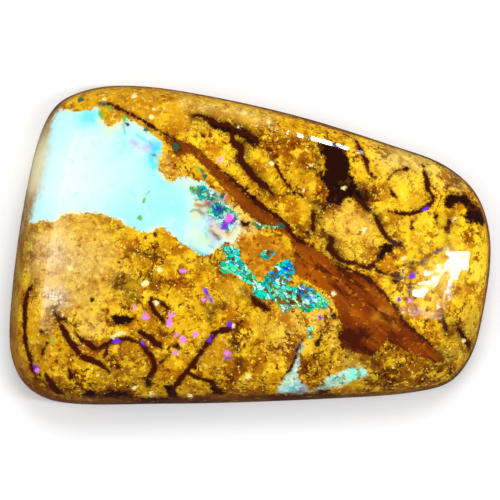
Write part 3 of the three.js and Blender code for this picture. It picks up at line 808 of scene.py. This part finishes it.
def edge_mask(tree, raggedness, name, wobble, soft, most=1.0):
    """A mask that is at its most inside the shape whose depth an attribute holds, and 0 outside it."""
    depth = add_node(tree, "Attribute", {"attribute_name": name})["Fac"]
    edge = add_node(tree, "Math", {"operation": "MULTIPLY_ADD"},
        {0: raggedness, 1: wobble, 2: depth})[0]
    fade = {"Value": edge, "From Min": -soft, "From Max": soft, "To Max": most}
    return add_node(tree, "MapRange", SMOOTH, fade)[0]


def patches(tree, place, scale, detail, roughness, low, high, most=1.0):
    """Irregular patches of noise, 0 where it is at low, and rising to most where it is at high."""
    cloud = add_node(tree, "TexNoise", None,
        {"Vector": place, "Scale": scale, "Detail": detail, "Roughness": roughness})
    fade = {"Value": cloud[0], "From Min": low, "From Max": high, "To Max": most}
    return add_node(tree, "MapRange", SMOOTH, fade)[0]


def clouds(tree, place, *rows):
    """A layer for each row, which holds the numbers of its patches and then its colour."""
    return [(patches(tree, place, *numbers), colour) for *numbers, colour in rows]


def dots(tree, mm, scale, radius, share):
    """Round dots in a share of the cells of a pattern."""
    cells = add_node(tree, "TexVoronoi", None, {"Vector": mm, "Scale": scale})
    disc = {"Value": cells["Distance"], "From Min": radius, "From Max": radius * DOT_CORE}
    disc = add_node(tree, "MapRange", SMOOTH, disc)[0]
    draw = add_node(tree, "SeparateColor", None, {0: cells["Color"]})[0]
    kept = add_node(tree, "Math", {"operation": "LESS_THAN"}, {0: draw, 1: share})[0]
    return add_node(tree, "Math", {"operation": "MULTIPLY"}, {0: disc, 1: kept})[0]


def veinlets(tree, mm, scale, width, most):
    """Thin winding lines, where noise passes through its middle value, and rising to most on them."""
    cloud = add_node(tree, "TexNoise", None,
        {"Vector": mm, "Scale": scale, "Detail": VEINLET_DETAIL, "Roughness": 0.6})[0]
    off_middle = add_node(tree, "Math", {"operation": "SUBTRACT"}, {0: cloud, 1: NOISE_MIDDLE})[0]
    gap = add_node(tree, "Math", {"operation": "ABSOLUTE"}, {0: off_middle})[0]
    fade = {"Value": gap, "From Min": width, "From Max": width * VEINLET_CORE, "To Max": most}
    line = add_node(tree, "MapRange", SMOOTH, fade)[0]
    some = patches(tree, mm, 0.7, 2, 0.5, 0.46, 0.58)
    return add_node(tree, "Math", {"operation": "MULTIPLY"}, {0: line, 1: some})[0]


def layered(tree, base, layers):
    """The base with the colour of each layer, a socket or an sRGB hex, over it where its mask is 1."""
    for mask, colour in layers:
        top = rgba(colour) if isinstance(colour, str) else colour
        base = add_node(tree, "Mix", RGBA, {0: mask, 6: base, 7: top})[2]
    return base


def ironstone_colour(tree, mm, tone, calm):
    """Golden sandstone cement: light grains, brown clouds, lacy veinlets and specks on its tone."""
    brown, dark = (
        add_node(tree, "Mix", MULTIPLY, {0: 1.0, 6: tone, 7: rgba(stain)})[2]
        for stain in ("c08e44", "763c0c")
    )
    light = layered(tree, tone, [(0.6, "ffd424")])
    rich = layered(tree, tone, [
        *clouds(tree, mm,
            (0.55, 5, 0.60, 0.52, 0.38, 0.9, brown),
            (1.1, 6, 0.60, 0.52, 0.62, 0.9, light),
            (1.5, 6, 0.64, 0.48, 0.36, 0.95, brown)),
        (veinlets(tree, mm, 0.6, 0.034, 0.9), dark),
        (veinlets(tree, mm, 1.3, 0.028, 0.85), dark),
        *clouds(tree, mm,
            (2.0, 5, 0.62, 0.42, 0.34, 0.95, dark),
            (3.2, 3, 0.60, 0.60, 0.68, 0.9, light),
            (4.6, 3, 0.55, 0.62, 0.70, 0.8, "ffe66c"),
            (4.2, 2, 0.50, 0.37, 0.30, 0.6, dark)),
        (dots(tree, mm, 1.9, 0.14, 0.14), "481804"),
        (dots(tree, mm, 2.6, 0.12, 0.2), "fff0a8"),
    ])
    even = layered(tree, tone, [
        *clouds(tree, mm,
            (1.0, 6, 0.62, 0.49, 0.38, 0.7, brown),
            (2.6, 5, 0.65, 0.45, 0.35, 0.6, brown),
            (3.2, 5, 0.65, 0.54, 0.64, 0.6, "f4d47c")),
        (dots(tree, mm, 1.8, 0.12, 0.12), dark),
    ])
    return layered(tree, rich, [(calm, even)])


def fire_colour(tree, mm, tone):
    """Play of colour: angular flakes of one hue each, and where there is a flake at all."""
    drift = add_node(tree, "TexNoise", None, {"Vector": mm, "Scale": 2.2, "Detail": 2.0})
    bent = add_node(tree, "VectorMath", {"operation": "MULTIPLY_ADD"},
        {0: drift["Color"], 1: FLAKE_BEND, 2: mm})[0]
    turned = add_node(tree, "Mapping", {"vector_type": "TEXTURE"},
        {"Vector": bent, "Rotation": (0, 0, math.radians(FLAKE_TURN)), "Scale": FLAKE_STRETCH})
    flakes = {"Vector": turned[0], "Scale": FLAKE_SCALE}
    cells = add_node(tree, "TexVoronoi", None, flakes)
    borders = add_node(tree, "TexVoronoi", {"feature": "DISTANCE_TO_EDGE"}, flakes)
    draw = add_node(tree, "SeparateColor", None, {0: cells["Color"]})
    hue, value = (
        add_node(tree, "MapRange", None, {"Value": luck, "To Min": lowest, "To Max": highest})[0]
        for luck, (lowest, highest) in ((draw[0], FLAKE_HUES), (draw[1], FLAKE_VALUES))
    )
    flake = add_node(tree, "HueSaturation", None,
        {"Hue": hue, "Saturation": 1.1, "Value": value, "Color": tone})[0]
    pale, lime, gap = (
        add_node(tree, "MapRange", SMOOTH,
            {"Value": source, "From Min": none_at, "From Max": most_at, "To Max": most})[0]
        for source, none_at, most_at, most in (
            (draw[2], 0.8, 0.88, 0.7),
            (draw[2], 0.3, 0.25, 0.6),
            (borders["Distance"], 0.12, 0.03, 0.75),
        )
    )
    shown = add_node(tree, "Math", {"operation": "GREATER_THAN"}, {0: draw[2], 1: MISSING_FLAKES})[0]
    return layered(tree, flake, [(pale, "c8fff0"), (lime, "8ce86c"), (gap, "141c10")]), shown


def make_polished_boulder_opal():
    """Glossy golden ironstone with milky blue opal, brown glassy potch and flashes of play of colour."""
    material = bpy.data.materials.new("polished_boulder_opal")
    material.use_nodes = True
    tree = material.node_tree
    tree.nodes.clear()
    place = add_node(tree, "TexCoord")["Object"]
    mm = add_node(tree, "VectorMath", {"operation": "SCALE"}, {0: place, "Scale": 1 / MM})[0]
    tones = {
        name: add_node(tree, "Attribute", {"attribute_name": f"{name}_tone"})["Color"]
        for name in ("ironstone", "opal", "seam", "fire", "wall", "grain")
    }
    calm, opal_depth = (
        add_node(tree, "Attribute", {"attribute_name": name})["Fac"]
        for name in ("calm", "opal_inside")
    )
    coarse, fine, grit, wave = (
        add_node(tree, "TexNoise", None, {"Vector": mm, "Scale": scale, "Detail": detail})[0]
        for scale, detail in ((2.0, 3.0), (8.0, 2.0), (5.5, 3.0), (0.9, 1.0))
    )
    fine_part = add_node(tree, "Math", {"operation": "MULTIPLY_ADD"},
        {0: fine, 1: FINE_SHARE, 2: -NOISE_MIDDLE * (COARSE_SHARE + FINE_SHARE)})[0]
    raggedness = add_node(tree, "Math", {"operation": "MULTIPLY_ADD"},
        {0: coarse, 1: COARSE_SHARE, 2: fine_part})[0]
    masks = {name: edge_mask(tree, raggedness, *numbers) for name, numbers in EDGES.items()}

    streaks = add_node(tree, "Mapping", {"vector_type": "TEXTURE"},
        {"Vector": mm, "Rotation": (0, 0, math.radians(SEAM_TURN)), "Scale": SEAM_STRETCH})[0]
    seam_colour = layered(tree, tones["seam"], [
        *clouds(tree, streaks,
            (0.7, 6, 0.62, 0.54, 0.66, 0.5, "a85808"),
            (1.0, 6, 0.62, 0.49, 0.38, 0.9, "481602")),
        *clouds(tree, mm,
            (1.6, 5, 0.65, 0.58, 0.68, 0.7, "c07010"),
            (5.5, 3, 0.6, 0.64, 0.70, 0.6, "e8a830"),
            (2.8, 5, 0.64, 0.42, 0.34, 0.8, "3a1402")),
    ])
    pocket_colour = layered(tree, rgba("ac660a"), clouds(tree, mm,
        (1.6, 6, 0.7, 0.44, 0.62, "dc9c1a"),
        (3.5, 4, 0.6, 0.44, 0.36, "8a4204")))
    black_colour = layered(tree, rgba("soot"), clouds(tree, mm,
        (1.5, 5, 0.6, 0.54, 0.64, 0.6, "5c3008")))
    vein_colour = layered(tree, tones["opal"], clouds(tree, mm,
        (2.4, 5, 0.6, 0.52, 0.62, 0.7, "e8fff4"),
        (2.0, 5, 0.6, 0.46, 0.38, 0.8, "4cac8c"),
        (3.0, 5, 0.62, 0.42, 0.34, 0.8, "8c741c")))
    # The wall's colour: ironstone texture over its tones, which are partly painted shade.
    wall_dark = add_node(tree, "Mix", MULTIPLY, {0: 1.0, 6: tones["wall"], 7: rgba("b48454")})[2]
    wall_and_shade_colour = layered(tree, tones["wall"], [
        *clouds(tree, mm,
            (0.45, 6, 0.64, 0.56, 0.40, 0.9, wall_dark),
            (1.4, 6, 0.66, 0.48, 0.38, 0.8, wall_dark),
            (3.0, 4, 0.62, 0.40, 0.32, 0.7, "3a1a06"),
            (1.9, 5, 0.66, 0.58, 0.68, 0.4, "dcae54")),
        (calm, tones["wall"]),
    ])
    fire, flakes_shown = fire_colour(tree, mm, tones["fire"])
    opal_rim = add_node(tree, "MapRange", SMOOTH,
        {"Value": opal_depth, "From Min": OPAL_RIM, "From Max": 0.0, "To Max": 0.8})[0]
    some_rim, some_vein, some_fire, some_grains = (
        add_node(tree, "Math", {"operation": "MULTIPLY"}, {0: whole, 1: part})[0]
        for whole, part in (
            (opal_rim, patches(tree, mm, 0.9, 3, 0.5, 0.42, 0.6)),
            (masks["vein"], patches(tree, mm, 1.5, 5, 0.6, 0.28, 0.42)),
            (masks["fire"], flakes_shown),
            (masks["grains"], patches(tree, mm, 3.2, 3, 0.6, 0.28, 0.38, 0.95)),
        )
    )
    opal_colour = layered(tree, tones["opal"], [
        *clouds(tree, mm,
            (0.8, 5, 0.6, 0.48, 0.66, 0.4, "milk_and_glare"),
            (1.7, 5, 0.65, 0.58, 0.68, 0.4, "sky")),
        (some_rim, "dce0a4"),
    ])
    ground = layered(tree, ironstone_colour(tree, mm, tones["ironstone"], calm), [
        (masks["pocket"], pocket_colour),
        (masks["seam"], seam_colour),
        (masks["dark seam"], "421404"),
        (some_vein, vein_colour),
        (masks["black"], black_colour),
        (masks["opal"], opal_colour),
        (masks["wall"], wall_and_shade_colour),
    ])
    stained = add_node(tree, "Mix", MULTIPLY, {0: 1.0, 6: ground, 7: rgba("7c3c08")})[2]
    colour = layered(tree, ground, [
        (masks["round cracks"], stained),
        (masks["crack"], "crack"),
        (masks["round fire"], "3c2408"),
        (some_fire, fire),
        (some_grains, tones["grain"]),
    ])

    dull, glossy = IRONSTONE_ROUGHNESS
    rough = add_node(tree, "MapRange", None,
        {"Value": grit, "From Min": 0.3, "From Max": 0.7, "To Min": dull, "To Max": glossy})[0]
    for mask, roughness in ((masks["opal"], OPAL_ROUGHNESS), (masks["crack"], CRACK_ROUGHNESS)):
        rough = add_node(tree, "Mix", {"data_type": "FLOAT"}, {0: mask, 2: rough, 3: roughness})[0]
    height = add_node(tree, "Math", {"operation": "MULTIPLY_ADD"}, {0: grit, 1: GRIT_SHARE, 2: wave})[0]
    bump = add_node(tree, "Bump", None,
        {"Strength": 1.0, "Distance": WAVE_HEIGHT * MM, "Height": height})[0]
    shader = add_node(tree, "BsdfPrincipled", None,
        {"Base Color": colour, "Roughness": rough, "Normal": bump, "IOR": 1.5})
    add_node(tree, "OutputMaterial", None, {"Surface": shader[0]})
    return material


# The studio

def make_floor():
    """A matt white table, which the stone doesn't mirror."""
    material = bpy.data.materials.new("white_table")
    material.use_nodes = True
    shader = material.node_tree.nodes["Principled BSDF"]
    shader.inputs["Base Color"].default_value = rgba("f2f2f2")
    shader.inputs["Roughness"].default_value = 0.9
    bpy.ops.object.select_all(action="DESELECT")
    bpy.ops.mesh.primitive_plane_add(size=FLOOR_SIZE)
    floor = bpy.context.active_object
    floor.name = "floor"
    floor.data.materials.append(material)
    floor.visible_glossy = False


def make_light(name, place, size, radiance, colour="ffffff", mirrored=True):
    """A soft rectangular light that faces the stone."""
    lamp = bpy.data.lights.new(name, "AREA")
    lamp.shape = "RECTANGLE"
    lamp.size, lamp.size_y = size
    lamp.energy = radiance * math.pi * size[0] * size[1]
    lamp.color = linear(colour)
    light = bpy.data.objects.new(name, lamp)
    light.location = place
    light.rotation_mode = "QUATERNION"
    light.rotation_quaternion = Vector(place).to_track_quat("Z", "Y")
    light.visible_glossy = mirrored
    bpy.context.scene.collection.objects.link(light)


def make_world():
    """Even light from all round, of which the stone mirrors little."""
    world = bpy.data.worlds.new("studio")
    bpy.context.scene.world = world
    world.use_nodes = True
    tree = world.node_tree
    in_mirror = add_node(tree, "LightPath")["Is Glossy Ray"]
    strength = add_node(tree, "MapRange", None,
        {"Value": in_mirror, "To Min": WORLD_STRENGTH, "To Max": WORLD_IN_MIRROR})[0]
    tree.links.new(strength, tree.nodes["Background"].inputs["Strength"])
    tree.nodes["Background"].inputs["Color"].default_value = rgba("ffffff")


def make_camera():
    """A long lens straight above the stone, and a view that shows colours as they are."""
    camera = bpy.data.cameras.new("camera")
    camera.lens = LENS
    camera.sensor_width = SENSOR_WIDTH
    camera.clip_start = 0.01
    rig = bpy.data.objects.new("camera", camera)
    rig.location = CAMERA_PLACE
    bpy.context.scene.collection.objects.link(rig)
    bpy.context.scene.camera = rig
    bpy.context.scene.view_settings.view_transform = "Standard"


stone = make_stone()
add_marks(stone)
select_only(stone)
bpy.ops.object.shade_smooth()
stone.data.materials.append(make_polished_boulder_opal())
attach(stone, "root")
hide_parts("boulder_opal")
make_floor()
for light_name, light_values in LIGHTS.items():
    make_light(light_name, *light_values)
make_world()
make_camera()
